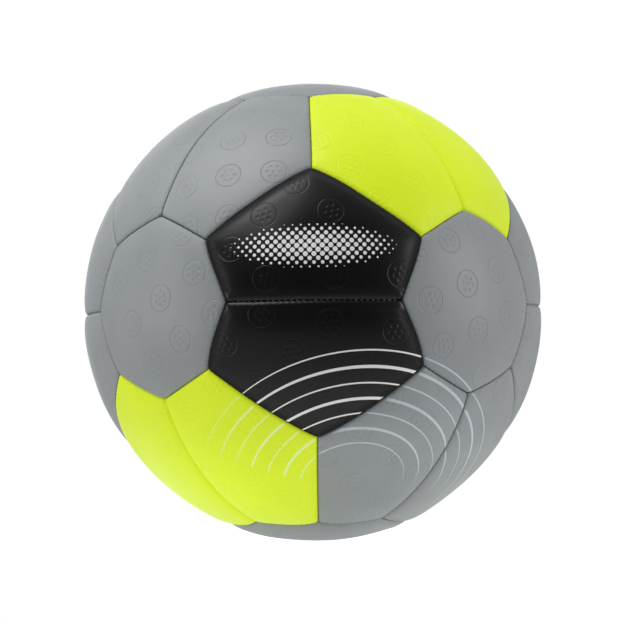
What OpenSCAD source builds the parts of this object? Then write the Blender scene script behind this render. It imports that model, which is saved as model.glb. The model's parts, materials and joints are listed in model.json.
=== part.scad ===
// Stitched handball: a cover of thirty panels round an inflated bladder, in millimetres.
// Six octagons lie on the three axes of the pattern and twelve pairs of pentagons fill the rest.
// The origin is the ball's centre, +Z is up through the valve, and the dark pair faces -Y.

/* [Ball] */
// Girth of the ball round the crowns of its panels
ball_girth = 590; // [540:5:600]
// Angle at the ball's centre from an octagon's middle to its corners
octagon_angle = 23.25; // [22:0.25:24.5]

/* [Cover panels] */
// Height of a panel's crown over its corners
crown_rise = 1.2; // [0.8:0.1:1.6]
// Thickness of the padded skin at a panel's corners
skin_t = 1.8; // [1.6:0.1:2.4]
// Thickness of the turned-in edge that the seam goes through
edge_t = 1.5; // [1.2:0.1:2]
// Gap between the turned-in edges of two neighbouring panels
seam_gap = 0.3; // [0.2:0.05:0.5]
// Width of the rolled edge on each side of a seam
roll_w = 1.9; // [1.4:0.1:2.4]
// Depth of the rolled edge where two panels meet
roll_depth = 1.5; // [1:0.1:1.6]
// Angle at the ball's centre from a pair's middle seam to the crown of each pentagon
pentagon_crown_angle = 10; // [6:1:14]

/* [Lining] */
// Thickness of the foam and cloth lining
lining_t = 2; // [1.8:0.1:3]
// Gap that the glue fills behind a panel and round the valve's patch
glue_gap = 0.1; // [0.05:0.05:0.2]

/* [Stitching] */
// Diameter of the waxed thread
thread_d = 0.8; // [0.6:0.1:1]
// Room round the thread between the turned-in edges
thread_gap = 0.05; // [0.02:0.01:0.1]
// Distance from the tips of the turned-in edges out to the stitch line
stitch_rise = 1.2; // [0.8:0.1:1.3]
// Distance that a thread stops short of the corner where seams meet
thread_end_gap = 1.5; // [1:0.1:2.5]

/* [Bladder] */
// Thickness of the bladder's latex wall
bladder_t = 1.2; // [0.8:0.1:1.6]
// Gap between the bladder and the linings that it presses on
bladder_gap = 0.2; // [0.1:0.05:0.4]

/* [Valve] */
// Diameter of the valve's stem, which shows in the top panel
stem_d = 7.2; // [6:0.2:9]
// Gap round the stem in the bladder, the lining and the top panel
stem_gap = 0.15; // [0.1:0.05:0.3]
// Depth of the valve's mouth below the top panel's crown
mouth_depth = 0.5; // [0.2:0.1:1]
// Width of the bevel round the valve's mouth
mouth_bevel = 0.5; // [0.3:0.1:0.8]
// Diameter of the rubber patch that strengthens the bladder round the valve
patch_d = 44; // [36:1:54]
// Thickness of the rubber patch
patch_t = 0.8; // [0.6:0.1:1.2]
// Diameter of the valve's base under the patch
base_d = 26; // [20:1:32]
// Thickness of the valve's base
base_t = 1.4; // [1:0.1:2]
// Diameter of the barrel that hangs inside the bladder
barrel_d = 10.4; // [10:0.2:13]
// Length of the barrel below the valve's base
barrel_l = 9; // [7:0.5:12]
// Diameter of the core's neck
core_d = 4.4; // [4:0.1:4.8]
// Diameter of the core's foot, which keeps it in the barrel
foot_d = 6.6; // [6:0.1:7]
// Length of the core's foot
foot_l = 3.5; // [2.5:0.5:5]
// Gap round the core in the valve's body
core_gap = 0.05; // [0.03:0.01:0.1]
// Diameter of the channel that takes the inflating needle
needle_d = 2; // [1.8:0.1:2.4]
// Depth of the dish that leads the needle into its channel
dish_depth = 0.8; // [0.5:0.1:1.2]

/* [Hidden] */
QUARTERS = ["front", "right", "back", "left"];
LEVELS = ["upper", "lower"];
SEATS = ["belt", "left", "right"];
PENTAGONS = [
    for (q = [0:3]) for (l = [0:1]) for (s = [0:2])
        [str("pentagon_", QUARTERS[q], "_", LEVELS[l], "_", SEATS[s]), q, l, s]
];
OCTAGONS = [
    ["octagon_top", 0, 90],
    ["octagon_bottom", 0, -90],
    ["octagon_front_right", 45, 0],
    ["octagon_back_right", 135, 0],
    ["octagon_back_left", 225, 0],
    ["octagon_front_left", 315, 0]
];

// Colours of the panels and of the pieces inside
GREY = [0.60, 0.62, 0.63];
YELLOW = [0.85, 0.94, 0.24];
BLACK = [0.10, 0.10, 0.10];
CLOTH = [0.90, 0.88, 0.82];
THREAD = [0.82, 0.82, 0.80];
LATEX = [0.80, 0.66, 0.45];
RUBBER = [0.16, 0.16, 0.17];

// Radii of the layers, from the crowns of the panels inwards
ball_r = ball_girth / (2 * PI);
skin_in_r = ball_r - crown_rise - skin_t;
lining_out_r = skin_in_r - glue_gap;
edge_tip_r = lining_out_r - lining_t;
stitch_r = edge_tip_r + stitch_rise;
bladder_out_r = edge_tip_r - bladder_gap;
bladder_in_r = bladder_out_r - bladder_t;
patch_out_r = bladder_in_r - glue_gap;
patch_in_r = patch_out_r - patch_t;
base_out_r = patch_in_r - glue_gap;
base_in_r = base_out_r - base_t;

// Heights along the valve's axis
mouth_z = ball_r - mouth_depth;
barrel_z = base_in_r - barrel_l;
foot_z = barrel_z + foot_l;
stem_hole_d = stem_d + 2 * stem_gap;

// Groove for the thread in each turned-in edge, a little wider and longer than the thread
groove_d = thread_d + 2 * thread_gap;
groove_end_gap = thread_end_gap / 2;

// Each seam's roll is an arc that leaves the crown at a small angle and runs down to the turned-in edge
roll_start_angle = 10;
roll_spill_angle = 10;
roll_overrun_angle = 1;
roll_reach_share = 2;
// A wedge starts well inside the bladder
wedge_foot_share = 0.6;
// Faces round a full turn of the large and the small curves
large_fn = 180;
small_fn = 24;

function unit(v) = v / norm(v);
function dir(az, el) = [sin(az) * cos(el), -cos(az) * cos(el), sin(el)];

// Corners of the two kinds of panel on the unit sphere, anticlockwise, with the panel's middle up
function octagon_corners() = [
    for (i = [0:7])
        [sin(octagon_angle) * cos(45 * i), sin(octagon_angle) * sin(45 * i), cos(octagon_angle)]
];
function pentagon_corners() =
    let (
        p = [sin(45), 0, cos(45)],
        q = [-sin(45), 0, cos(45)],
        up = [0, 1, 0],
        e = 45 - octagon_angle
    )
    [
        [-sin(e), 0, cos(e)],
        [sin(e), 0, cos(e)],
        unit(cos(octagon_angle) * p + sin(octagon_angle) * unit(q + up)),
        unit(p + q + up),
        unit(cos(octagon_angle) * q + sin(octagon_angle) * unit(p + up))
    ];

// Distance from the ball's centre to the centre of a crown that drops by rise at an angle
function crown_shift(rise, angle) =
    (ball_r * ball_r - (ball_r - rise) * (ball_r - rise)) / (2 * (ball_r - (ball_r - rise) * cos(angle)));
octagon_shift = crown_shift(crown_rise, octagon_angle);
pentagon_crown = [0, sin(pentagon_crown_angle), cos(pentagon_crown_angle)];
pentagon_reach = max([for (c = pentagon_corners()) acos(c * pentagon_crown)]);
pentagon_shift = crown_shift(crown_rise, pentagon_reach);

// Turns what it holds so that its Z axis points along z and its Y axis along y
module turned(y, z) {
    x = cross(y, z);
    multmatrix([
        [x[0], y[0], z[0], 0],
        [x[1], y[1], z[1], 0],
        [x[2], y[2], z[2], 0],
        [0, 0, 0, 1]
    ])
        children();
}

// Sphere with its poles and its joint turned away from the panel
module smooth_sphere(r) {
    rotate([0, 90, 0])
        sphere(r = r, $fn = large_fn);
}

// Space between the seam planes of a panel, each set in by inset
module wedge(corners, inset) {
    n = len(corners);
    wide = 2 * ball_r;
    intersection() {
        translate([-wide / 2, -wide / 2, ball_r * wedge_foot_share])
            cube([wide, wide, ball_r]);
        intersection_for(i = [0:n - 1]) {
            inward = unit(cross(corners[i], corners[(i + 1) % n]));
            turned(unit(corners[i] + corners[(i + 1) % n]), inward)
                translate([-wide / 2, -wide / 2, inset])
                    cube([wide, 2 * wide, wide]);
        }
    }
}

// Cutter for the rolled edge along the seam from corner a to corner b of a panel with its crown's centre at c
module roll_cutter(a, b, c) {
    outward = unit(cross(b, a));
    crown_r = ball_r - norm(c);
    plane = -seam_gap / 2 - outward * c;
    start = [sqrt(pow(crown_r, 2) - pow(plane - roll_w, 2)), plane - roll_w];
    end = [sqrt(pow(crown_r, 2) - pow(plane, 2)) - roll_depth, plane];
    out = unit([end[1] - start[1], start[0] - end[0]]);
    facing = atan2(out[1], out[0]);
    half_angle = facing - asin(start[1] / crown_r) - roll_start_angle;
    roll_r = norm(end - start) / 2 / sin(half_angle);
    centre = (start + end) / 2 - out * roll_r * cos(half_angle);
    reach = roll_r * roll_reach_share;
    fan = half_angle + roll_spill_angle;
    rim = [for (t = [-fan, 0, fan]) reach * [cos(facing + t), sin(facing + t)]];
    sweep = acos(unit(a * ball_r - c) * unit(b * ball_r - c)) + 2 * roll_overrun_angle;
    translate(c)
        turned(cross(outward, unit(a + b)), outward)
            rotate([0, 0, -sweep / 2])
                rotate_extrude(angle = sweep, $fn = large_fn)
                    translate(centre)
                        difference() {
                            polygon(concat([[0, 0]], rim));
                            rotate(facing + 180)
                                circle(r = roll_r, $fn = 2 * small_fn);
                        }
}

// Round strand of diameter d along the stitch line from corner a to corner b, cut short at both ends
module strand(a, b, d, short) {
    trim = asin(short / stitch_r);
    turned(cross(unit(cross(a, b)), a), unit(cross(a, b)))
        rotate([0, 0, trim])
            rotate_extrude(angle = acos(a * b) - 2 * trim, $fn = large_fn)
                translate([stitch_r, 0])
                    circle(d = d, $fn = small_fn);
}

// Cover panel: a crowned skin with rolled edges that turn in to the stitch line and past it
module cover(corners, c) {
    n = len(corners);
    difference() {
        intersection() {
            translate(c)
                smooth_sphere(ball_r - norm(c));
            wedge(corners, seam_gap / 2);
        }
        smooth_sphere(edge_tip_r);
        intersection() {
            smooth_sphere(skin_in_r);
            wedge(corners, seam_gap / 2 + edge_t);
        }
        for (i = [0:n - 1]) {
            roll_cutter(corners[i], corners[(i + 1) % n], c);
            strand(corners[i], corners[(i + 1) % n], groove_d, groove_end_gap);
        }
    }
}

// Lining that fills the tray behind a panel
module lining(corners) {
    intersection() {
        difference() {
            smooth_sphere(lining_out_r);
            smooth_sphere(edge_tip_r);
        }
        wedge(corners, seam_gap / 2 + edge_t + glue_gap);
    }
}

function level_sign(l) = l == 0 ? 1 : -1;
function seat_turn(s) = [0, -45, 45][s];

// Places a pentagon by quarter, level and seat: its pair's middle points out along +Z
module pentagon_place(q, l, s) {
    out = dir(90 * q + seat_turn(s), s == 0 ? 0 : 45 * level_sign(l));
    up = s == 0 ? [0, 0, level_sign(l)] : dir(90 * q - seat_turn(s), 0);
    turned(up, out)
        children();
}

// Places an octagon by the azimuth and elevation of its middle
module octagon_place(az, el) {
    side = el == 0 ? [0, 0, 1] : dir(45, 0);
    turned(side, dir(az, el))
        children();
}

function pentagon_colour(q, l, s) =
    s == 0 ? (q % 2 == 0 ? BLACK : GREY)
    : (90 * q + seat_turn(s) + 360 + 90 * l) % 180 == 45 ? YELLOW
    : GREY;

module stem_hole() {
    cylinder(d = stem_hole_d, h = 2 * ball_r, $fn = 2 * small_fn);
}

module pentagon_panel(p) {
    color(pentagon_colour(p[1], p[2], p[3]))
        pentagon_place(p[1], p[2], p[3])
            cover(pentagon_corners(), pentagon_crown * pentagon_shift);
}

module octagon_panel(o) {
    color(GREY)
        octagon_place(o[1], o[2])
            difference() {
                cover(octagon_corners(), [0, 0, octagon_shift]);
                if (o[2] == 90) stem_hole();
            }
}

module lining_pentagons() {
    color(CLOTH)
        for (p = PENTAGONS)
            pentagon_place(p[1], p[2], p[3])
                lining(pentagon_corners());
}

module lining_octagons() {
    color(CLOTH)
        for (o = OCTAGONS)
            if (o[2] != 90)
                octagon_place(o[1], o[2])
                    lining(octagon_corners());
}

module lining_octagon_top() {
    color(CLOTH)
        octagon_place(0, 90)
            difference() {
                lining(octagon_corners());
                stem_hole();
            }
}

// Threads of the seams between the two pentagons of a pair
module thread_mid_seams() {
    c = pentagon_corners();
    color(THREAD)
        for (p = PENTAGONS)
            if (p[3] == 0 ? p[2] == 0 : p[3] == 1)
                pentagon_place(p[1], p[2], p[3])
                    strand(c[0], c[1], thread_d, thread_end_gap);
}

// Threads of the seams that run from an octagon to the corner where three pentagons meet
module thread_long_seams() {
    c = pentagon_corners();
    color(THREAD)
        for (p = PENTAGONS)
            pentagon_place(p[1], p[2], p[3])
                strand(c[2], c[3], thread_d, thread_end_gap);
}

// Threads of the eight seams round each octagon
module thread_octagon_seams() {
    c = octagon_corners();
    color(THREAD)
        for (o = OCTAGONS)
            octagon_place(o[1], o[2])
                for (i = [0:7])
                    strand(c[i], c[(i + 1) % 8], thread_d, thread_end_gap);
}

module bladder() {
    color(LATEX)
        difference() {
            sphere(r = bladder_out_r, $fn = large_fn);
            sphere(r = bladder_in_r, $fn = large_fn);
            stem_hole();
        }
}

// Half outline of a dome of the given radii and width, with a hole of width hole_d
module dome_outline(out_r, in_r, width, hole_d) {
    intersection() {
        difference() {
            circle(r = out_r, $fn = large_fn);
            circle(r = in_r, $fn = large_fn);
        }
        translate([hole_d / 2, 0])
            square([(width - hole_d) / 2, ball_r]);
    }
}

module valve_patch() {
    color(RUBBER)
        rotate_extrude(angle = 360, $fn = 4 * small_fn)
            dome_outline(patch_out_r, patch_in_r, patch_d, stem_hole_d);
}

// Valve body: mouth and stem, domed base and barrel in one moulding, bored for the core
module valve_body() {
    neck_hole_r = core_d / 2 + core_gap;
    foot_hole_r = foot_d / 2 + core_gap;
    waist_z = (base_out_r + base_in_r) / 2;
    color(RUBBER)
        rotate_extrude(angle = 360, $fn = 4 * small_fn)
            difference() {
                union() {
                    dome_outline(base_out_r, base_in_r, base_d, core_d);
                    polygon([
                        [neck_hole_r, barrel_z],
                        [barrel_d / 2, barrel_z],
                        [barrel_d / 2, waist_z],
                        [stem_d / 2, waist_z],
                        [stem_d / 2, mouth_z - mouth_bevel],
                        [stem_d / 2 - mouth_bevel, mouth_z],
                        [neck_hole_r, mouth_z]
                    ]);
                }
                square([neck_hole_r, mouth_z + ball_r]);
                square([foot_hole_r, foot_z + core_gap]);
            }
}

// Valve core: a soft plug that closes on the needle's channel, with a foot that holds it in
module valve_core() {
    top_z = mouth_z - mouth_bevel;
    color(RUBBER)
        rotate_extrude(angle = 360, $fn = 4 * small_fn)
            polygon([
                [needle_d / 2, barrel_z],
                [foot_d / 2, barrel_z],
                [foot_d / 2, foot_z],
                [core_d / 2, foot_z],
                [core_d / 2, top_z],
                [needle_d / 2 + dish_depth, top_z],
                [needle_d / 2, top_z - dish_depth]
            ]);
}

for (p = PENTAGONS)
    pentagon_panel(p);
for (o = OCTAGONS)
    octagon_panel(o);
lining_pentagons();
lining_octagons();
lining_octagon_top();
thread_mid_seams();
thread_long_seams();
thread_octagon_seams();
bladder();
valve_patch();
valve_body();
valve_core();
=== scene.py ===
import json
import math

import bpy
import numpy as np
from mathutils import Matrix, Vector


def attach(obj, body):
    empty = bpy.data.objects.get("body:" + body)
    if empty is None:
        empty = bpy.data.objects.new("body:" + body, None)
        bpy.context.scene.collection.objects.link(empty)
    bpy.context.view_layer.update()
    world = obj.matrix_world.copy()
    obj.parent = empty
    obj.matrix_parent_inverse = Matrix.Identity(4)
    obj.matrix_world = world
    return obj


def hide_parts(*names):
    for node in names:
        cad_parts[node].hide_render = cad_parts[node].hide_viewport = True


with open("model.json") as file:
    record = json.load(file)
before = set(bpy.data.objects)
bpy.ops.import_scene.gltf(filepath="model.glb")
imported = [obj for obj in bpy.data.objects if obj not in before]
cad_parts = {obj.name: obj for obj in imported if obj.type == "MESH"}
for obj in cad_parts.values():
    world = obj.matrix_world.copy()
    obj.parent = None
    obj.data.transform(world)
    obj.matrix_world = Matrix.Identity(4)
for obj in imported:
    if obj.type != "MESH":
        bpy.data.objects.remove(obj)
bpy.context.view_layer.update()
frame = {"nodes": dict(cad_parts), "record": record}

bpy.ops.object.select_all(action="DESELECT")

# Bladder: a round latex balloon that the pump fills and the cover holds in shape.
# It is dipped in one piece round the valve's patch and leaves a hole for the valve's stem.
bladder_out_r = 0.0886
bladder_t = 0.0012
bladder_segments = 128
bladder_rings = 64
stem_hole_r = 0.00375
soft_edge_angle = math.radians(40)


def node(tree, kind, inputs=None, **settings):
    """Adds a shader node, gives its settings and its inputs, each a number or another node's socket."""
    made = tree.nodes.new(kind)
    for name, value in settings.items():
        setattr(made, name, value)
    for key, value in (inputs or {}).items():
        if isinstance(value, bpy.types.NodeSocket):
            tree.links.new(value, made.inputs[key])
        else:
            made.inputs[key].default_value = value
    return made


def maths(tree, operation, *values):
    """Result of one Math node."""
    return node(tree, "ShaderNodeMath", dict(enumerate(values)), operation=operation).outputs[0]


def mixed(tree, share, first, second):
    """Blend of two colours."""
    made = node(tree, "ShaderNodeMix", {"Factor": share, "A": first, "B": second}, data_type="RGBA")
    return made.outputs["Result"]


def new_group(name, inputs, outputs):
    """Empty node group with named sockets, and its two end nodes."""
    group = bpy.data.node_groups.new(name, "ShaderNodeTree")
    for socket, kind in inputs.items():
        group.interface.new_socket(socket, in_out="INPUT", socket_type=kind)
    for socket in outputs:
        group.interface.new_socket(socket, in_out="OUTPUT", socket_type="NodeSocketFloat")
    return group, group.nodes.new("NodeGroupInput"), group.nodes.new("NodeGroupOutput")


def placed_group(tree, group, inputs):
    """Outputs of the group's node in a material."""
    return node(tree, "ShaderNodeGroup", inputs, node_tree=group).outputs


def new_material(name, **constants):
    """Material with one Principled shader, whose constant sockets are set, and the place on the piece."""
    material = bpy.data.materials.new(name)
    material.use_nodes = True
    tree = material.node_tree
    shader = tree.nodes["Principled BSDF"]
    for socket, value in constants.items():
        shader.inputs[socket.replace("_", " ")].default_value = value
    place = tree.nodes.new("ShaderNodeTexCoord").outputs["Object"]
    return material, tree, shader, place


def add_bump(tree, shader, height, strength, depth):
    """Roughens a shader's surface by a height."""
    bump = node(tree, "ShaderNodeBump", {"Height": height, "Strength": strength, "Distance": depth})
    tree.links.new(bump.outputs["Normal"], shader.inputs["Normal"])


mottle_share = 0.02


def grain_group():
    """Fine pebbled grain with a slow mottle, for coverings and rubber."""
    group, start, end = new_group(
        "fine_grain", {"Place": "NodeSocketVector", "Scale": "NodeSocketFloat"}, ["Height", "Mottle"]
    )
    place, scale = start.outputs["Place"], start.outputs["Scale"]
    pebble = node(group, "ShaderNodeTexVoronoi", {"Vector": place, "Scale": scale}, feature="SMOOTH_F1")
    hair = node(group, "ShaderNodeTexNoise", {"Vector": place, "Scale": scale, "Detail": 4.0})
    cloud_scale = maths(group, "MULTIPLY", scale, mottle_share)
    cloud = node(group, "ShaderNodeTexNoise", {"Vector": place, "Scale": cloud_scale, "Detail": 3.0})
    height = maths(group, "ADD", pebble.outputs["Distance"], hair.outputs["Fac"])
    group.links.new(height, end.inputs["Height"])
    group.links.new(cloud.outputs["Fac"], end.inputs["Mottle"])
    return group


fine_grain = grain_group()
rubber_bump = 0.4
rubber_grain_depth = 0.00004


def rubber_material(name, dark, light, scale, roughness):
    """Moulded rubber: two close tones in clouds and a fine matt skin."""
    material, tree, shader, place = new_material(name, Roughness=roughness)
    grain = placed_group(tree, fine_grain, {"Place": place, "Scale": scale})
    tree.links.new(mixed(tree, grain["Mottle"], dark, light), shader.inputs["Base Color"])
    add_bump(tree, shader, grain["Height"], rubber_bump, rubber_grain_depth)
    return material


latex = rubber_material(
    "latex", dark=(0.52, 0.33, 0.14, 1), light=(0.66, 0.47, 0.24, 1), scale=900, roughness=0.38
)


def finish_piece(piece, name, material, replaced):
    """Names a piece, gives its material, ties it to the ball's body and puts it in its solid's place."""
    piece.name = piece.data.name = name
    piece.data.materials.clear()
    piece.data.materials.append(material)
    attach(piece, "root")
    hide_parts(replaced)


def edit_all():
    """Edit mode on the active object with all of it selected."""
    bpy.ops.object.mode_set(mode="EDIT")
    bpy.ops.mesh.select_all(action="SELECT")


def outward_faces():
    """Turns the active object's faces outwards."""
    edit_all()
    bpy.ops.mesh.normals_make_consistent(inside=False)
    bpy.ops.object.mode_set(mode="OBJECT")


def read_points(mesh):
    """All vertices of a mesh as rows."""
    points = np.empty(len(mesh.vertices) * 3)
    mesh.vertices.foreach_get("co", points)
    return points.reshape(-1, 3)


def write_points(mesh, points):
    """Moves all vertices of a mesh."""
    mesh.vertices.foreach_set("co", np.asarray(points, float).ravel())
    mesh.update()


def edit_only(chosen):
    """Edit mode on the active object with only the chosen vertices selected."""
    mesh = bpy.context.object.data
    for parts in (mesh.edges, mesh.polygons):
        parts.foreach_set("select", np.zeros(len(parts), bool))
    mesh.vertices.foreach_set("select", chosen)
    bpy.ops.object.mode_set(mode="EDIT")
    bpy.ops.mesh.select_mode(type="VERT")


# The dipping leaves eight faint ribs
rib_count = 8
rib_height = 0.0001
bpy.ops.mesh.primitive_uv_sphere_add(
    segments=bladder_segments, ring_count=bladder_rings, radius=bladder_out_r
)
bladder = bpy.context.object
points = read_points(bladder.data)
edit_only(points[:, 2] > math.sqrt(bladder_out_r**2 - stem_hole_r**2))
bpy.ops.mesh.delete(type="VERT")
bpy.ops.object.mode_set(mode="OBJECT")
points = read_points(bladder.data)
around = np.arctan2(points[:, 1], points[:, 0])
tall = np.hypot(points[:, 0], points[:, 1]) / bladder_out_r
points *= (1 - rib_height / bladder_out_r * tall * np.cos(rib_count * around / 2) ** 2)[:, None]
rim = points[:, 2] > np.sort(points[:, 2])[-bladder_segments - 1]
points[rim, :2] *= (stem_hole_r / np.hypot(points[rim, 0], points[rim, 1]))[:, None]
write_points(bladder.data, points)
wall = bladder.modifiers.new("wall", "SOLIDIFY")
wall.thickness = bladder_t
wall.offset = -1
bpy.ops.object.modifier_apply(modifier="wall")
outward_faces()
bpy.ops.object.shade_smooth_by_angle(angle=soft_edge_angle)
finish_piece(bladder, "bladder_balloon", latex, "bladder")

# Valve: a rubber patch that strengthens the bladder, the moulded body whose mouth shows in the top
# panel, and the soft core pushed into it, which closes on itself when the needle is drawn out.
butyl = rubber_material(
    "butyl_rubber",
    dark=(0.012, 0.012, 0.013, 1),
    light=(0.024, 0.024, 0.025, 1),
    scale=1400,
    roughness=0.55,
)
core_rubber = rubber_material(
    "core_rubber",
    dark=(0.05, 0.05, 0.052, 1),
    light=(0.075, 0.075, 0.078, 1),
    scale=1800,
    roughness=0.45,
)
for name, material in {"valve_patch": butyl, "valve_body": butyl, "valve_core": core_rubber}.items():
    part = frame["nodes"][name]
    part.data.materials.clear()
    part.data.materials.append(material)

# Linings: foam-backed cotton cut to each panel's shape, a little smaller, and glued behind it.
# They fill the tray between the panel's turned-in edges and keep the bladder off the seams.
ball_r = 0.590 / (2 * math.pi)
octagon_angle = math.radians(23.25)
seam_gap = 0.0003
edge_t = 0.0015
glue_gap = 0.0001
lining_out_r = 0.0908
edge_tip_r = 0.0888
lining_cuts = 4


def direction(azimuth, elevation):
    """Unit vector at an azimuth from the front and an elevation, in degrees."""
    azimuth, elevation = math.radians(azimuth), math.radians(elevation)
    flat = math.cos(elevation)
    return Vector((math.sin(azimuth) * flat, -math.cos(azimuth) * flat, math.sin(elevation)))


def turned(up, out):
    """Matrix that lays a panel's own Y axis along up and its Z axis along out."""
    return Matrix((up.cross(out), up, out)).transposed()


def octagon_corners():
    """Corners of an octagon on the unit sphere, its middle on +Z."""
    reach = math.sin(octagon_angle)
    eighth = math.pi / 4
    return [
        Vector((reach * math.cos(eighth * k), reach * math.sin(eighth * k), math.cos(octagon_angle)))
        for k in range(8)
    ]


def pentagon_corners():
    """Corners of the upper pentagon of a pair on the unit sphere, the pair's middle on +Z."""
    right = Vector((1, 0, 1)).normalized()
    left = Vector((-1, 0, 1)).normalized()
    up = Vector((0, 1, 0))
    half = math.pi / 4 - octagon_angle
    near, far = math.cos(octagon_angle), math.sin(octagon_angle)
    return [
        Vector((-math.sin(half), 0, math.cos(half))),
        Vector((math.sin(half), 0, math.cos(half))),
        near * right + far * (left + up).normalized(),
        (right + left + up).normalized(),
        near * left + far * (right + up).normalized(),
    ]


def seam_normals(corners):
    """Inward unit normals of the planes through the ball's centre and each seam."""
    following = corners[1:] + corners[:1]
    return [a.cross(b).normalized() for a, b in zip(corners, following)]


def inset_corners(corners, distance):
    """Corners of the same shape with every side moved in by a distance at the ball's surface."""
    normals = seam_normals(corners)
    moved = []
    for before, after in zip(normals[-1:] + normals[:-1], normals):
        middle = (before + after) * (math.sin(distance / ball_r) / (1 + before.dot(after)))
        along = before.cross(after).normalized()
        moved.append(middle + along * math.sqrt(1 - middle.length_squared))
    return moved


def flat_blank(corners, cuts):
    """Polygon cut into small squares, flat on the plane one unit out from the ball's centre."""
    bpy.ops.mesh.primitive_circle_add(vertices=len(corners), radius=1, fill_type="NGON")
    blank = bpy.context.object
    for vertex, corner in zip(blank.data.vertices, corners):
        vertex.co = corner / corner.z
    divider = blank.modifiers.new("squares", "SUBSURF")
    divider.subdivision_type = "SIMPLE"
    divider.levels = divider.render_levels = cuts
    bpy.ops.object.modifier_apply(modifier="squares")
    return blank


def domed(blank, radius):
    """Lays a blank on a sphere round the ball's centre."""
    points = read_points(blank.data)
    write_points(blank.data, points / np.linalg.norm(points, axis=1)[:, None] * radius)


def scaled_about_centre(share):
    """Moves what is selected in edit mode towards or away from the ball's centre."""
    bpy.ops.transform.resize(value=(share, share, share), center_override=(0, 0, 0))


pentagon_seats = {
    f"{quarter}_{level}_{seat}": turned(
        Vector((0, 0, sign)) if seat == "belt" else direction(90 * q - turn, 0),
        direction(90 * q + turn, 0 if seat == "belt" else 45 * sign),
    )
    for q, quarter in enumerate(["front", "right", "back", "left"])
    for level, sign in [("upper", 1), ("lower", -1)]
    for seat, turn in [("belt", 0), ("left", -45), ("right", 45)]
}
octagon_seats = {"top": turned(direction(45, 0), Vector((0, 0, 1)))}
octagon_seats["bottom"] = turned(direction(45, 0), Vector((0, 0, -1)))
for place, azimuth in {"front_right": 45, "back_right": 135, "back_left": 225, "front_left": 315}.items():
    octagon_seats[place] = turned(Vector((0, 0, 1)), direction(azimuth, 0))

# Hand stitching and use leave slow bulges and drifts that run on from panel to panel
rng = np.random.default_rng(30)
wave_count = 28
shortest_wave, usual_wave, longest_wave = 0.022, 0.05, 0.075
wave_axes = rng.normal(size=(wave_count, 3))
wave_axes /= np.linalg.norm(wave_axes, axis=1)[:, None]
wave_lengths = rng.uniform(shortest_wave, longest_wave, wave_count)
wave_phases = rng.uniform(0, 2 * math.pi, wave_count)
wave_pushes = rng.normal(size=(wave_count, 3)) * np.sqrt(wave_lengths / usual_wave)[:, None]
drift = 0.00022
bulge = 0.00016
valve_calm = math.radians(9)

# Places where the seams wander: azimuth, elevation, and how far they go aside and up, in metres.
# The back is stitched like the front, so each drift is repeated half a turn round.
seam_drifts = [
    (-26, 12, -0.0009, 0),
    (-27, -10, -0.0014, 0),
    (25, 12, 0.0009, 0),
    (27, -9, 0.0017, 0),
    (-28, 17, 0.0002, -0.0006),
    (-16, 26, 0.0003, -0.0006),
    (16, 26, -0.0003, -0.0008),
    (30, 17, 0, -0.001),
    (56, 21, 0, 0.0008),
    (-17, -25, -0.0003, -0.0004),
    (-70, -25, -0.002, 0),
    (-14, -66, 0, -0.002),
    (-55, -70, 0, -0.0022),
    (8, -66, 0, -0.0018),
    (62, -67, 0, -0.0009),
]
drift_reach = math.radians(8)

# Places where the ball is a little full or flat: azimuth, elevation, height in metres, reach in degrees.
# The last two flatten the top panel, but less round the valve, so that its mouth stays flush.
swellings = [
    (90, 24, -0.0007, 12),
    (90, -14, -0.0005, 9),
    (90, 66, 0.0004, 8),
    (90, -65, 0.0011, 9),
    (-90, 20, 0.0004, 12),
    (-90, -2, 0.0005, 9),
    (-90, -68, 0.0008, 10),
    (0, -68, 0.0009, 12),
    (-55, -72, 0.0007, 8),
    (78, -67, 0.0005, 5),
    (90, 0, 0.0004, 4),
    (90, -68, 0.0003, 4),
    (-90, 30, 0.0005, 4),
    (0, 90, -0.0009, 15),
    (0, 90, 0.00045, 5),
]


def handmade(points):
    """Points moved by the ball's small irregularities, which fade towards the inside and the valve."""
    radii = np.linalg.norm(points, axis=1)
    out = points / radii[:, None]
    phases = (out * ball_r) @ (wave_axes * (2 * math.pi / wave_lengths)[:, None]).T + wave_phases
    push = np.sin(phases) @ wave_pushes / math.sqrt(wave_count)
    radial = np.sum(push * out, axis=1)
    sideways = push - radial[:, None] * out
    from_valve = np.arccos(np.clip(out[:, 2], -1, 1))
    calm = 1 - np.exp(-((from_valve / valve_calm) ** 2))
    share = np.clip((radii - lining_out_r) / (ball_r - lining_out_r), 0, 1)
    moved = points + sideways * (drift * calm)[:, None]
    for azimuth, elevation, aside, up in seam_drifts:
        for half_turn in (0, 180):
            middle = np.array(direction(azimuth + half_turn, elevation))
            right = np.array(direction(azimuth + half_turn + 90, 0))
            away = np.arccos(np.clip(out @ middle, -1, 1)) / drift_reach
            moved += np.outer(np.exp(-(away**2)), aside * right + up * np.cross(right, -middle))
    swell = bulge * radial * calm
    for azimuth, elevation, height, reach in swellings:
        middle = np.array(direction(azimuth, elevation))
        away = np.arccos(np.clip(out @ middle, -1, 1)) / math.radians(reach)
        swell += height * np.exp(-(away**2))
    return moved + out * (swell * share)[:, None]


def vector_maths(tree, operation, *values, result=0):
    """Result of one Vector Math node."""
    made = node(tree, "ShaderNodeVectorMath", dict(enumerate(values)), operation=operation)
    return made.outputs[result]


def ramp(tree, value, start, end, low=0.0, high=1.0):
    """Soft step from low to high as the value goes from start to end."""
    made = node(
        tree,
        "ShaderNodeMapRange",
        {"Value": value, "From Min": start, "From Max": end, "To Min": low, "To Max": high},
        interpolation_type="SMOOTHSTEP",
    )
    return made.outputs["Result"]


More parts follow.
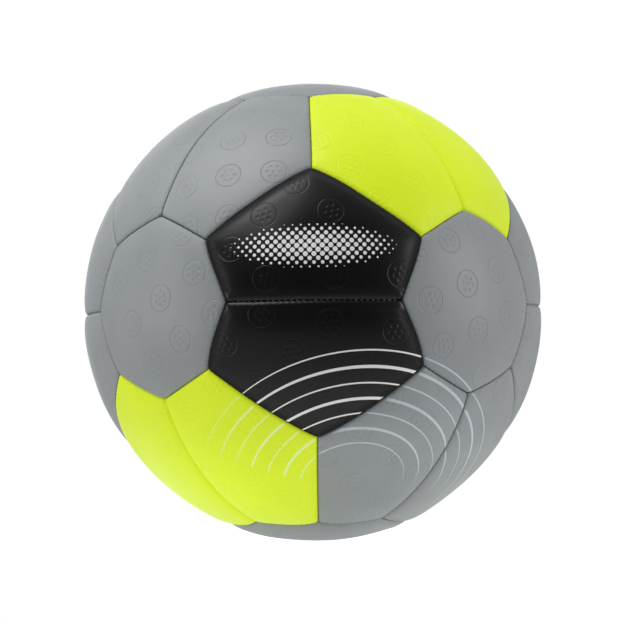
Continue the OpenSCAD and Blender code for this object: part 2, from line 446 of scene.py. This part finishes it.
def weave_group():
    """Plain woven cloth seen as a grid of over and under threads."""
    group, start, end = new_group(
        "plain_weave", {"Place": "NodeSocketVector", "Pitch": "NodeSocketFloat"}, ["Height"]
    )
    place, pitch = start.outputs["Place"], start.outputs["Pitch"]
    cells = vector_maths(group, "SCALE", place)
    group.links.new(maths(group, "DIVIDE", math.pi, pitch), cells.node.inputs["Scale"])
    axes = node(group, "ShaderNodeSeparateXYZ", {0: cells})
    waves = [maths(group, "SINE", axes.outputs[k]) for k in range(3)]
    crossing = maths(group, "MULTIPLY", waves[0], waves[1])
    height = maths(group, "MULTIPLY_ADD", crossing, 0.5, maths(group, "MULTIPLY", waves[2], 0.25))
    group.links.new(height, end.inputs["Height"])
    return group


plain_weave = weave_group()
weave_pitch = 0.0006
weave_contrast = 0.6
weave_bump = 0.6
weave_depth = 0.0001
cotton_tones_weave_shaded = ((0.62, 0.58, 0.5, 1), (0.8, 0.77, 0.7, 1))
cotton, tree, shader, place = new_material("cotton_lining", Roughness=0.9)
weave = placed_group(tree, plain_weave, {"Place": place, "Pitch": weave_pitch})["Height"]
# Painted shade and highlight: the weave's hollows are painted darker and its raised threads lighter than
# the cotton
cloth_tone_weave_shaded = mixed(tree, ramp(tree, weave, -weave_contrast, weave_contrast), *cotton_tones_weave_shaded)
tree.links.new(cloth_tone_weave_shaded, shader.inputs["Base Color"])
add_bump(tree, shader, weave, weave_bump, weave_depth)


def lining_pad(corners):
    """Foam pad for one panel, in the panel's own axes."""
    pad = flat_blank(inset_corners(corners, seam_gap / 2 + edge_t + glue_gap), lining_cuts)
    domed(pad, edge_tip_r)
    edit_all()
    bpy.ops.mesh.extrude_region_move()
    scaled_about_centre(lining_out_r / edge_tip_r)
    bpy.ops.object.mode_set(mode="OBJECT")
    outward_faces()
    bpy.ops.object.shade_smooth_by_angle(angle=soft_edge_angle)
    return pad


def select_only(first, *others):
    """Selects nothing but the given pieces, the first of them active."""
    bpy.ops.object.select_all(action="DESELECT")
    for piece in (first, *others):
        piece.select_set(True)
    bpy.context.view_layer.objects.active = first


def copies_in_seats(model, seats):
    """One object of copies of a model, one in each seat, and the model gone."""
    made = []
    for seat in seats:
        copy = bpy.data.objects.new(model.name, model.data.copy())
        bpy.context.collection.objects.link(copy)
        write_points(copy.data, handmade(read_points(copy.data) @ np.array(seat).T))
        made.append(copy)
    bpy.data.objects.remove(model)
    select_only(*made)
    if len(made) > 1:
        bpy.ops.object.join()
    return bpy.context.object


hole_sides = 96


def cut_stem_hole(piece):
    """Bores the valve's hole through a piece of the top panel."""
    bpy.ops.mesh.primitive_cylinder_add(
        vertices=hole_sides, radius=stem_hole_r, depth=ball_r, location=(0, 0, ball_r)
    )
    drill = bpy.context.object
    hole = piece.modifiers.new("hole", "BOOLEAN")
    hole.object = drill
    bpy.context.view_layer.objects.active = piece
    bpy.ops.object.modifier_apply(modifier="hole")
    bpy.data.objects.remove(drill)


lining = copies_in_seats(lining_pad(pentagon_corners()), pentagon_seats.values())
finish_piece(lining, "pentagon_linings", cotton, "lining_pentagons")
plain_seats = [seat for place, seat in octagon_seats.items() if place != "top"]
lining = copies_in_seats(lining_pad(octagon_corners()), plain_seats)
finish_piece(lining, "octagon_linings", cotton, "lining_octagons")
lining = copies_in_seats(lining_pad(octagon_corners()), [octagon_seats["top"]])
cut_stem_hole(lining)
finish_piece(lining, "top_octagon_lining", cotton, "lining_octagon_top")

# Cover panels: thirty pieces of soft synthetic leather on thin foam, punched from embossed sheets.
# Each is crowned by the pressure, rolls over at its edges and turns in to the stitch line.
skin_in_r = 0.0909
crown_rise = 0.0007
crown_width = 0.022
crown_softness = 0.004
shoulder_drop = 0.0004
shoulder_width = 0.008
roll_depth = 0.0009
roll_width = 0.0018
roll_softness = 0.0005
stitch_pitch = 0.00235
pucker_depth = 0.00015
pucker_width = 0.0013
panel_cuts = 7
tray_cuts = 4
crowding = 0.5
lip_depth = 0.00015
lip_width = 0.0012
firm_edge_angle = math.radians(60)


def crowded(blank, corners):
    """Draws a blank's rows closer together towards its border, where the edge rolls over."""
    points = read_points(blank.data)
    middle = points[:, :2].mean(axis=0)
    lines = np.array([n[:] for n in seam_normals(corners)])
    heights = points @ lines.T
    middle_heights = np.array([*middle, 1]) @ lines.T
    inwardness = np.clip((heights / middle_heights).min(axis=1), 0, 1)
    points[:, :2] = middle + (points[:, :2] - middle) * (1 + crowding * inwardness)[:, None]
    write_points(blank.data, points)


def softest(distances, softness):
    """Smallest of several distances, with a rounded change from one to the next."""
    return -softness * np.log(np.exp(-distances / softness).sum(axis=1))


def seam_places(points, corners):
    """For each point, its distances from all seams and its place along the nearest one."""
    out = points / np.linalg.norm(points, axis=1)[:, None]
    normals = np.array([n[:] for n in seam_normals(corners)])
    distances = np.arcsin(np.clip(out @ normals.T, -1, 1)) * ball_r
    nearest = distances.argmin(axis=1)
    middles = np.array([(a + b).normalized()[:] for a, b in zip(corners, corners[1:] + corners[:1])])
    sides = np.cross(normals, middles)
    along = np.arctan2(np.sum(out * sides[nearest], axis=1), np.sum(out * middles[nearest], axis=1))
    return distances, along * ball_r


def inflate(blank, corners):
    """Gives a blank the crown, the rolled edges and the stitch puckers of an inflated panel."""
    points = read_points(blank.data)
    distances, along = seam_places(points, corners)
    crown_place = np.clip(1 - softest(distances, crown_softness) / crown_width, 0, None)
    shoulder_place = np.clip(1 - softest(distances, roll_softness) / shoulder_width, 0, None)
    from_edge = np.clip(softest(distances, roll_softness), 0, None)
    over = np.clip(1 - from_edge / roll_width, 0, 1)
    roll = roll_depth * (1 - np.sqrt(1 - over**2))
    drawn = 0.5 + 0.5 * np.cos(2 * math.pi * along / stitch_pitch)
    pucker = pucker_depth * drawn * np.exp(-((from_edge / pucker_width) ** 2))
    shoulder = shoulder_drop * shoulder_place**2
    radii = ball_r - crown_rise * crown_place**2 - shoulder - roll - pucker
    write_points(blank.data, points / np.linalg.norm(points, axis=1)[:, None] * radii[:, None])


def add_tray(panel, corners):
    """Closes a panel behind: turned-in edges down to their tips and the tray for the lining."""
    tray = flat_blank(inset_corners(corners, seam_gap / 2), tray_cuts)
    domed(tray, edge_tip_r)
    edit_all()
    bpy.ops.mesh.inset(thickness=edge_t, use_boundary=True, use_even_offset=True)
    bpy.ops.mesh.extrude_region_move()
    scaled_about_centre(skin_in_r / edge_tip_r)
    bpy.ops.object.mode_set(mode="OBJECT")
    select_only(panel, tray)
    bpy.ops.object.join()
    bpy.ops.object.mode_set(mode="EDIT")
    bpy.ops.mesh.select_mode(type="EDGE")
    bpy.ops.mesh.select_all(action="DESELECT")
    bpy.ops.mesh.select_non_manifold(
        use_wire=False, use_multi_face=False, use_non_contiguous=False, use_verts=False
    )
    bpy.ops.mesh.bridge_edge_loops()
    bpy.ops.object.mode_set(mode="OBJECT")
    outward_faces()


def model_panel(corners):
    """One finished panel in its own axes."""
    edge = inset_corners(corners, seam_gap / 2)
    panel = flat_blank(edge, panel_cuts)
    crowded(panel, edge)
    inflate(panel, corners)
    add_tray(panel, corners)
    bpy.ops.object.shade_smooth_by_angle(angle=firm_edge_angle)
    return panel


def lipped(points):
    """Rolls the top panel's skin down round the valve's hole."""
    from_hole = np.hypot(points[:, 0], points[:, 1]) - stem_hole_r
    over = np.clip(1 - from_hole / lip_width, 0, 1)
    drop = lip_depth * (1 - np.sqrt(1 - over**2)) * (points[:, 2] > (skin_in_r + ball_r) / 2)
    return points - np.outer(drop, [0, 0, 1])


smallest_reach = 1e-9


def lay_sheet_places(mesh, corners, turn, shift):
    """Stores where each point lay on the embossed sheet, and how far it is from a seam, in metres."""
    points = read_points(mesh)
    distances, _ = seam_places(points, corners)
    out = points / np.linalg.norm(points, axis=1)[:, None]
    reach = np.hypot(out[:, 0], out[:, 1])
    spread = np.arccos(np.clip(out[:, 2], -1, 1)) / np.maximum(reach, smallest_reach) * ball_r
    flat = out[:, :2] * spread[:, None]
    cos, sin = math.cos(turn), math.sin(turn)
    flat = flat @ np.array([[cos, sin], [-sin, cos]]) + shift
    sheet = mesh.attributes.new("sheet_place", "FLOAT_VECTOR", "POINT")
    sheet.data.foreach_set("vector", np.column_stack([flat, np.zeros(len(flat))]).ravel())
    edge = mesh.attributes.new("seam_distance", "FLOAT", "POINT")
    edge.data.foreach_set("value", distances.min(axis=1))


# The emboss is a plain rosette of dimples in a ring, repeated on a square grid over the sheet
medallion_pitch = 0.019
ring_r = 0.0053
ring_line = 0.00034
petal_place = 0.0026
petal_count = 6
petal_r = 0.00085
petal_floor = 0.6


def flat_length(tree, across, up):
    """Length of a flat vector given by its two parts."""
    squares = [maths(tree, "POWER", part, 2) for part in (across, up)]
    return maths(tree, "SQRT", maths(tree, "ADD", *squares))


def medallion_group():
    """Depth of the embossed rosettes at a place on the sheet."""
    group, start, end = new_group("embossed_rosettes", {"Place": "NodeSocketVector"}, ["Height"])
    cells = vector_maths(group, "DIVIDE", start.outputs[0], (medallion_pitch,) * 3)
    centred = vector_maths(group, "SUBTRACT", vector_maths(group, "FRACTION", cells), (0.5, 0.5, 0))
    own = vector_maths(group, "MULTIPLY", centred, (medallion_pitch, medallion_pitch, 0))
    away = vector_maths(group, "LENGTH", own, result="Value")
    line = maths(group, "ABSOLUTE", maths(group, "SUBTRACT", away, ring_r))
    ring = ramp(group, line, 0, ring_line, 1, 0)
    axes = node(group, "ShaderNodeSeparateXYZ", {0: own})
    angle = maths(group, "ARCTAN2", axes.outputs[1], axes.outputs[0])
    folded = maths(group, "PINGPONG", angle, math.pi / petal_count)
    across = maths(group, "MULTIPLY", away, maths(group, "COSINE", folded))
    aside = maths(group, "MULTIPLY", away, maths(group, "SINE", folded))
    from_petal = flat_length(group, maths(group, "SUBTRACT", across, petal_place), aside)
    petal = ramp(group, from_petal, petal_r * petal_floor, petal_r, 1, 0)
    hub = ramp(group, away, petal_r * petal_floor, petal_r, 1, 0)
    height = maths(group, "MAXIMUM", ring, maths(group, "MAXIMUM", petal, hub))
    group.links.new(height, end.inputs["Height"])
    return group


embossed_rosettes = medallion_group()

# The print is a plain fan of ripples on the lower dark panel and its neighbours, and a band of round
# dots on the upper dark panel. It is put on both dark pairs, so the front is folded onto the back.
ripple_middle = direction(13, -49)
ripple_first = 0.021
ripple_step = 0.0066
ripple_count = 7
ripple_line = 0.00034
ripple_bold = 0.0003
ripple_turn = math.radians(112)
ripple_span = math.radians(118)
ripple_lean = -0.13
ripple_end = 0.01
print_edge = 0.00004


def front_fold(group, place):
    """Unit vector to the place, turned half round if it is on the back."""
    out = vector_maths(group, "NORMALIZE", place)
    axes = node(group, "ShaderNodeSeparateXYZ", {0: out})
    side = maths(group, "SIGN", maths(group, "MULTIPLY", axes.outputs[1], -1))
    turn = node(group, "ShaderNodeCombineXYZ", {0: side, 1: side, 2: 1.0})
    return vector_maths(group, "MULTIPLY", out, turn.outputs[0])


def ripple_group():
    """Mask of thin tapered ripples round a point of the front."""
    group, start, end = new_group("ripple_print", {"Place": "NodeSocketVector"}, ["Mask"])
    out = front_fold(group, start.outputs[0])
    middle = ripple_middle
    up = (Vector((0, 0, 1)) - middle * middle.z).normalized()
    side = up.cross(middle)
    near = vector_maths(group, "DOT_PRODUCT", out, tuple(middle), result="Value")
    away = maths(group, "MULTIPLY", maths(group, "ARCCOSINE", near), ball_r)
    right = vector_maths(group, "DOT_PRODUCT", out, tuple(side), result="Value")
    high = vector_maths(group, "DOT_PRODUCT", out, tuple(up), result="Value")
    angle = maths(group, "ARCTAN2", high, right)
    from_first = maths(group, "SUBTRACT", away, ripple_first - ripple_step / 2)
    count = maths(group, "DIVIDE", from_first, ripple_step)
    index = maths(group, "FLOOR", count)
    off_middle = maths(group, "SUBTRACT", maths(group, "FRACT", count), 0.5)
    off_line = maths(group, "MULTIPLY", maths(group, "ABSOLUTE", off_middle), ripple_step)
    centre = maths(group, "MULTIPLY_ADD", index, ripple_lean, ripple_turn)
    aside = maths(group, "DIVIDE", maths(group, "SUBTRACT", angle, centre), ripple_span)
    taper = maths(group, "SUBTRACT", 1, maths(group, "POWER", maths(group, "ABSOLUTE", aside), 2))
    weight = maths(group, "MULTIPLY_ADD", maths(group, "MODULO", index, 2), ripple_bold, ripple_line)
    half = maths(group, "MULTIPLY", maths(group, "MAXIMUM", taper, 0), weight)
    line = ramp(group, maths(group, "SUBTRACT", half, off_line), -print_edge, print_edge)
    begun = ramp(group, count, 0, ripple_end)
    ended = ramp(group, count, ripple_count, ripple_count + ripple_end, 1, 0)
    inside = maths(group, "MULTIPLY", begun, ended)
    group.links.new(maths(group, "MULTIPLY", line, inside), end.inputs["Mask"])
    return group


ripple_print = ripple_group()

dot_pitch = 0.0034
dot_r = 0.00108
band_reach = (0.0345, 0.0092)
band_height = math.radians(13.2)


def dot_band_group():
    """Mask of a lens-shaped band of round dots that shrink towards its ends."""
    group, start, end = new_group("dot_band_print", {"Place": "NodeSocketVector"}, ["Mask"])
    out = front_fold(group, start.outputs[0])
    axes = node(group, "ShaderNodeSeparateXYZ", {0: out})
    azimuth = maths(group, "ARCTAN2", axes.outputs[0], maths(group, "MULTIPLY", axes.outputs[1], -1))
    elevation = maths(group, "ARCSINE", axes.outputs[2])
    wide = maths(group, "MULTIPLY", azimuth, ball_r)
    high = maths(group, "MULTIPLY", maths(group, "SUBTRACT", elevation, band_height), ball_r)
    rows = [
        maths(group, "DIVIDE", maths(group, "ADD", wide, high), dot_pitch),
        maths(group, "DIVIDE", maths(group, "SUBTRACT", wide, high), dot_pitch),
    ]
    nearest = [maths(group, "ROUND", row) for row in rows]
    off_rows = [maths(group, "SUBTRACT", row, near) for row, near in zip(rows, nearest)]
    off_dot = flat_length(group, *off_rows)
    away = maths(group, "MULTIPLY", off_dot, dot_pitch * math.sqrt(0.5))
    dot_wide = maths(group, "MULTIPLY", maths(group, "ADD", *nearest), dot_pitch / 2 / band_reach[0])
    dot_high = maths(group, "MULTIPLY", maths(group, "SUBTRACT", *nearest), dot_pitch / 2 / band_reach[1])
    reach = maths(group, "POWER", flat_length(group, dot_wide, dot_high), 2)
    share = maths(group, "SQRT", maths(group, "MAXIMUM", maths(group, "SUBTRACT", 1, reach), 0))
    size = maths(group, "MULTIPLY", share, dot_r)
    dot = ramp(group, maths(group, "SUBTRACT", size, away), -print_edge, print_edge)
    group.links.new(dot, end.inputs["Mask"])
    return group


dot_band_print = dot_band_group()

# The skin is printed nearly up to the seams. Right at the seams its colour is painted darker, partly as
# dirt and partly as painted shade of the seam groove. Its edges are rubbed dull, except along the belt of
# seams round the ball's middle, which stays shiny.
leather_grain = 1500
leather_bump = 0.25
leather_grain_depth = 0.00003
mottle_range = (0.3, 0.7)
print_clear = 0.0007
print_fade = 0.0002
# How far from a seam, and how strongly, the colour is painted darker: a little dirt and painted shade of
# the groove
seam_dirt_and_shade_reach = (0.0001, 0.0007)
seam_dirt_and_shade_share = 0.6
rubbed_reach = (0.0006, 0.005)
belt_reach = (0.003, 0.005)


def leather(name, tones, seam_dirt_and_shade, ink, ink_share, emboss_depth, roughness, worn_roughness, shine, dots):
    """Soft satin synthetic leather with its emboss and print, duller where its edges rub."""
    material, tree, shader, place = new_material(name, Specular_IOR_Level=shine)
    sheet = node(tree, "ShaderNodeAttribute", attribute_name="sheet_place").outputs["Vector"]
    edge = node(tree, "ShaderNodeAttribute", attribute_name="seam_distance").outputs["Fac"]
    grain = placed_group(tree, fine_grain, {"Place": place, "Scale": leather_grain})
    emboss = placed_group(tree, embossed_rosettes, {"Place": sheet})["Height"]
    colour = mixed(tree, ramp(tree, grain["Mottle"], *mottle_range), *tones)
    print_mask = placed_group(tree, ripple_print, {"Place": place})["Mask"]
    if dots:
        band = placed_group(tree, dot_band_print, {"Place": place})["Mask"]
        print_mask = maths(tree, "MAXIMUM", print_mask, band)
    printed = ramp(tree, edge, print_clear, print_clear + print_fade, 0, ink_share)
    colour = mixed(tree, maths(tree, "MULTIPLY", print_mask, printed), colour, ink)
    # Painted shade with a little dirt: the colour darkens within a fraction of a millimetre of each seam
    colour = mixed(tree, ramp(tree, edge, *seam_dirt_and_shade_reach, seam_dirt_and_shade_share, 0), colour, seam_dirt_and_shade)
    tree.links.new(colour, shader.inputs["Base Color"])
    from_belt = maths(tree, "ABSOLUTE", node(tree, "ShaderNodeSeparateXYZ", {0: place}).outputs[2])
    at_edge = ramp(tree, edge, *rubbed_reach, 1, 0)
    rubbed = maths(tree, "MULTIPLY", at_edge, ramp(tree, from_belt, *belt_reach))
    dullness = maths(tree, "MULTIPLY_ADD", rubbed, worn_roughness - roughness, roughness)
    tree.links.new(dullness, shader.inputs["Roughness"])
    fine = node(
        tree,
        "ShaderNodeBump",
        {"Height": grain["Height"], "Strength": leather_bump, "Distance": leather_grain_depth},
    )
    pressed = node(
        tree,
        "ShaderNodeBump",
        {"Height": emboss, "Strength": 1.0, "Distance": emboss_depth, "Normal": fine.outputs["Normal"]},
        invert=True,
    )
    tree.links.new(pressed.outputs["Normal"], shader.inputs["Normal"])
    return material


cover_leathers = {
    "cover_grey": leather(
        "grey_leather",
        tones=((0.27, 0.289, 0.3, 1), (0.3, 0.319, 0.33, 1)),
        seam_dirt_and_shade=(0.13, 0.14, 0.147, 1),
        ink=(0.6, 0.68, 0.74, 1),
        ink_share=0.75,
        emboss_depth=0.00014,
        roughness=0.42,
        worn_roughness=0.55,
        shine=0.38,
        dots=False,
    ),
    "cover_yellow": leather(
        "yellow_leather",
        tones=((0.46, 0.57, 0.007, 1), (0.49, 0.6, 0.009, 1)),
        seam_dirt_and_shade=(0.44, 0.54, 0.008, 1),
        ink=(0.54, 0.66, 0.5, 1),
        ink_share=0.85,
        emboss_depth=0.0001,
        roughness=0.42,
        worn_roughness=0.55,
        shine=0.32,
        dots=False,
    ),
    "cover_black": leather(
        "black_leather",
        tones=((0.0055, 0.0055, 0.0057, 1), (0.007, 0.007, 0.0072, 1)),
        seam_dirt_and_shade=(0.001, 0.001, 0.001, 1),
        ink=(0.86, 0.86, 0.86, 1),
        ink_share=1.0,
        emboss_depth=0.000065,
        roughness=0.28,
        worn_roughness=0.85,
        shine=0.28,
        dots=True,
    ),
}
# Painted light: the yellow glows a little on its own, as a bright fluorescent dye looks, which evens out
# its shading
yellow_shader = cover_leathers["cover_yellow"].node_tree.nodes["Principled BSDF"]
yellow_shader.inputs["Emission Color"].default_value = (0.78, 0.97, 0.02, 1)
yellow_shader.inputs["Emission Strength"].default_value = 0.3
cad_slots = {row["node"]: row["material_slot"] for row in frame["record"]["subparts"]}


def lay_panel(model, corners, kind, place, seat):
    """Puts a copy of a panel in its seat, cut from its own part of the sheet."""
    name = f"{kind}_{place}"
    mesh = model.data.copy()
    panel = bpy.data.objects.new(f"{name}_cover", mesh)
    bpy.context.collection.objects.link(panel)
    lay_sheet_places(mesh, corners, rng.uniform(-math.pi, math.pi), rng.uniform(-0.5, 0.5, 2))
    write_points(mesh, handmade(read_points(mesh) @ np.array(seat).T))
    slot = cad_slots[name]
    finish_piece(panel, f"{name}_cover", cover_leathers[slot], name)
    return panel


model = model_panel(pentagon_corners())
for place, seat in pentagon_seats.items():
    lay_panel(model, pentagon_corners(), "pentagon", place, seat)
bpy.data.objects.remove(model)
model = model_panel(octagon_corners())
for place, seat in octagon_seats.items():
    panel = lay_panel(model, octagon_corners(), "octagon", place, seat)
    if place == "top":
        cut_stem_hole(panel)
        write_points(panel.data, lipped(read_points(panel.data)))
bpy.data.objects.remove(model)

# Threads: one waxed polyester thread for each seam, sewn by hand through both turned-in edges.
# It crosses the gap at every stitch, and the crossings show where a seam is drawn a little open.
thread_r = 0.0003
thread_end_gap = 0.0015
stitch_steps = 8
stitch_sway = 0.0006
crossing_r = {"mid": 0.0918, "long": 0.0909, "octagon": 0.0909}
between_r = 0.0902
fibre_scale = 4000.0
fibre_bump = 0.5
fibre_depth = 0.00005
thread_tones = ((0.36, 0.36, 0.35, 1), (0.62, 0.62, 0.6, 1))
same_point = 0.000001

thread_material, tree, shader, place = new_material("waxed_thread", Roughness=0.6)
fibres = node(tree, "ShaderNodeTexNoise", {"Vector": place, "Scale": fibre_scale, "Detail": 2.0})
tone = mixed(tree, fibres.outputs["Fac"], *thread_tones)
tree.links.new(tone, shader.inputs["Base Color"])
add_bump(tree, shader, fibres.outputs["Fac"], fibre_bump, fibre_depth)


def seams_of(kinds, seats, corners):
    """Corner pairs of all seams of each kind, once for both panels that share one."""
    found = {}
    for seat in seats:
        placed = [seat @ corner for corner in corners]
        for kind, a, b in zip(kinds, placed, placed[1:] + placed[:1]):
            key = tuple(round(value, 4) for value in (a + b))
            found.setdefault(kind, {}).setdefault(key, (a, b))
    return {kind: list(pairs.values()) for kind, pairs in found.items()}


pentagon_seams = ["mid", "octagon", "long", "long", "octagon"]
seams = seams_of(pentagon_seams, pentagon_seats.values(), pentagon_corners())


def thread_path(a, b, crossing):
    """Points of the thread of the seam from corner a to corner b."""
    normal = a.cross(b).normalized()
    middle = (a + b).normalized()
    along = normal.cross(middle)
    length = math.acos(a.dot(b)) * ball_r - 2 * thread_end_gap
    stitches = int(length / stitch_pitch / 2)
    steps = np.arange(-stitches * stitch_steps, stitches * stitch_steps + 1) / stitch_steps
    angles = steps * stitch_pitch / ball_r
    height = between_r + (crossing - between_r) * np.cos(math.pi * steps) ** 4
    sway = stitch_sway * np.sin(math.pi * steps)
    rows = np.outer(np.cos(angles), middle) + np.outer(np.sin(angles), along)
    return rows * height[:, None] + np.outer(sway, normal)


for kind, pairs in seams.items():
    curve = bpy.data.curves.new(f"{kind}_seams", "CURVE")
    curve.dimensions = "3D"
    curve.bevel_depth = thread_r
    curve.bevel_resolution = 1
    curve.use_fill_caps = True
    for a, b in pairs:
        path = handmade(thread_path(a, b, crossing_r[kind]))
        spline = curve.splines.new("POLY")
        spline.points.add(len(path) - 1)
        spline.points.foreach_set("co", np.column_stack([path, np.ones(len(path))]).ravel())
    thread = bpy.data.objects.new(f"{kind}_seams", curve)
    bpy.context.collection.objects.link(thread)
    select_only(thread)
    bpy.ops.object.convert(target="MESH")
    thread = bpy.context.object
    edit_all()
    bpy.ops.mesh.remove_doubles(threshold=same_point)
    bpy.ops.object.mode_set(mode="OBJECT")
    outward_faces()
    bpy.ops.object.shade_smooth_by_angle(angle=firm_edge_angle)
    finish_piece(thread, f"{kind}_seam_threads", thread_material, f"thread_{kind}_seams")

# Floor: a round white acrylic board that touches the ball at its lowest point. It looks plain white from
# above, glows at the ball only near it, and is clear from below, so that the underside can be seen.
floor_r = 0.6
floor_sides = 96
floor_tones = ((0.42, 0.42, 0.42, 1), (0.46, 0.46, 0.46, 1))
speckle_scale = 30.0
floor_glow = 0.62
floor_glow_reach = (0.08, 0.26)
lowest = read_points(bpy.data.objects["octagon_bottom_cover"].data)[:, 2].min()
bpy.ops.mesh.primitive_circle_add(
    vertices=floor_sides, radius=floor_r, fill_type="NGON", location=(0, 0, lowest)
)
floor = bpy.context.object
floor.name = "floor"
floor_paint, tree, shader, place = new_material("white_acrylic", Roughness=0.6)
shader.inputs["Emission Color"].default_value = (1, 1, 1, 1)
speckle = node(tree, "ShaderNodeTexNoise", {"Vector": place, "Scale": speckle_scale, "Detail": 2.0})
tone = mixed(tree, speckle.outputs["Fac"], *floor_tones)
tree.links.new(tone, shader.inputs["Base Color"])
seen = node(tree, "ShaderNodeLightPath").outputs["Is Camera Ray"]
from_ball = vector_maths(tree, "LENGTH", place, result="Value")
glow = ramp(tree, from_ball, *floor_glow_reach, floor_glow, 0.0)
tree.links.new(maths(tree, "MAXIMUM", seen, glow), shader.inputs["Emission Strength"])
from_below = node(tree, "ShaderNodeNewGeometry").outputs["Backfacing"]
clear = tree.nodes.new("ShaderNodeBsdfTransparent")
pane = node(tree, "ShaderNodeMixShader", {0: from_below, 1: shader.outputs[0], 2: clear.outputs[0]})
tree.links.new(pane.outputs[0], tree.nodes["Material Output"].inputs["Surface"])
floor.data.materials.append(floor_paint)

# Light: a white backdrop, dim walls that fill the shadows from the sides and from behind, and soft
# boxes round the ball, of which the strongest stand on the right and overhead.
wall_light = 0.45
wall_reach = (-0.95, 0.1)
world = bpy.data.worlds.new("studio")
bpy.context.scene.world = world
world.use_nodes = True
tree = world.node_tree
backdrop = tree.nodes["Background"]
backdrop.inputs["Strength"].default_value = 1.0
towards = node(tree, "ShaderNodeSeparateXYZ", {0: tree.nodes.new("ShaderNodeTexCoord").outputs["Object"]})
wall_strength = ramp(tree, towards.outputs[1], *wall_reach, 0.0, wall_light)
walls = node(tree, "ShaderNodeBackground", {"Color": (1, 1, 1, 1), "Strength": wall_strength})
backdrop.inputs["Color"].default_value = (1, 1, 1, 1)
seen = node(tree, "ShaderNodeLightPath").outputs["Is Camera Ray"]
both = node(tree, "ShaderNodeMixShader", {0: seen, 1: walls.outputs[0], 2: backdrop.outputs[0]})
tree.links.new(both.outputs[0], tree.nodes["World Output"].inputs["Surface"])
bpy.context.scene.view_settings.view_transform = "Standard"


def soft_box(name, towards, distance, size, power):
    """Square area light that faces the ball."""
    lamp = bpy.data.lights.new(name, "AREA")
    lamp.size = size
    lamp.energy = power
    box = bpy.data.objects.new(name, lamp)
    bpy.context.collection.objects.link(box)
    box.location = Vector(towards).normalized() * distance
    box.rotation_euler = box.location.to_track_quat("Z", "Y").to_euler()


soft_box("key_light", (-0.4, -0.46, 0.8), 1.1, 0.7, 4)
soft_box("top_light", (0.35, 0.15, 1), 1.3, 1.0, 1)
soft_box("right_light", (1, -0.25, 0.2), 1.3, 0.8, 7.6)
soft_box("overhead_light", (-0.4, -0.12, 0.92), 1.2, 0.8, 6.6)
soft_box("low_left_light", (-1, -0.35, 0.05), 1.3, 0.6, 3.7)
soft_box("back_light", (-0.1, 1, 0.2), 1.3, 0.8, 2)

# Camera: a long lens at the photograph's place, a little under the ball's middle and slightly tilted.
# The ball's place in the picture is set by the lens's shift.
camera_distance = 17.63 * ball_r
focal_px = 4034
image_px = 625
ball_px = (313.27, 311.21)
yaw, pitch, roll = (math.radians(angle) for angle in (0.37, -2.68, -1.13))
ball_turn = Matrix.Rotation(yaw, 3, "Z") @ Matrix.Rotation(pitch, 3, "X") @ Matrix.Rotation(roll, 3, "Y")
lens = bpy.data.cameras.new("camera")
lens.sensor_width = 36
lens.lens = lens.sensor_width * focal_px / image_px
lens.shift_x = -(ball_px[0] - image_px / 2) / image_px
lens.shift_y = (ball_px[1] - image_px / 2) / image_px
camera = bpy.data.objects.new("camera", lens)
bpy.context.collection.objects.link(camera)
facing = Matrix(((1, 0, 0), (0, 0, -1), (0, 1, 0)))
camera.matrix_world = Matrix.Translation(ball_turn.transposed() @ Vector((0, -camera_distance, 0))) @ (
    ball_turn.transposed() @ facing
).to_4x4()
bpy.context.scene.camera = camera

bpy.context.view_layer.update()
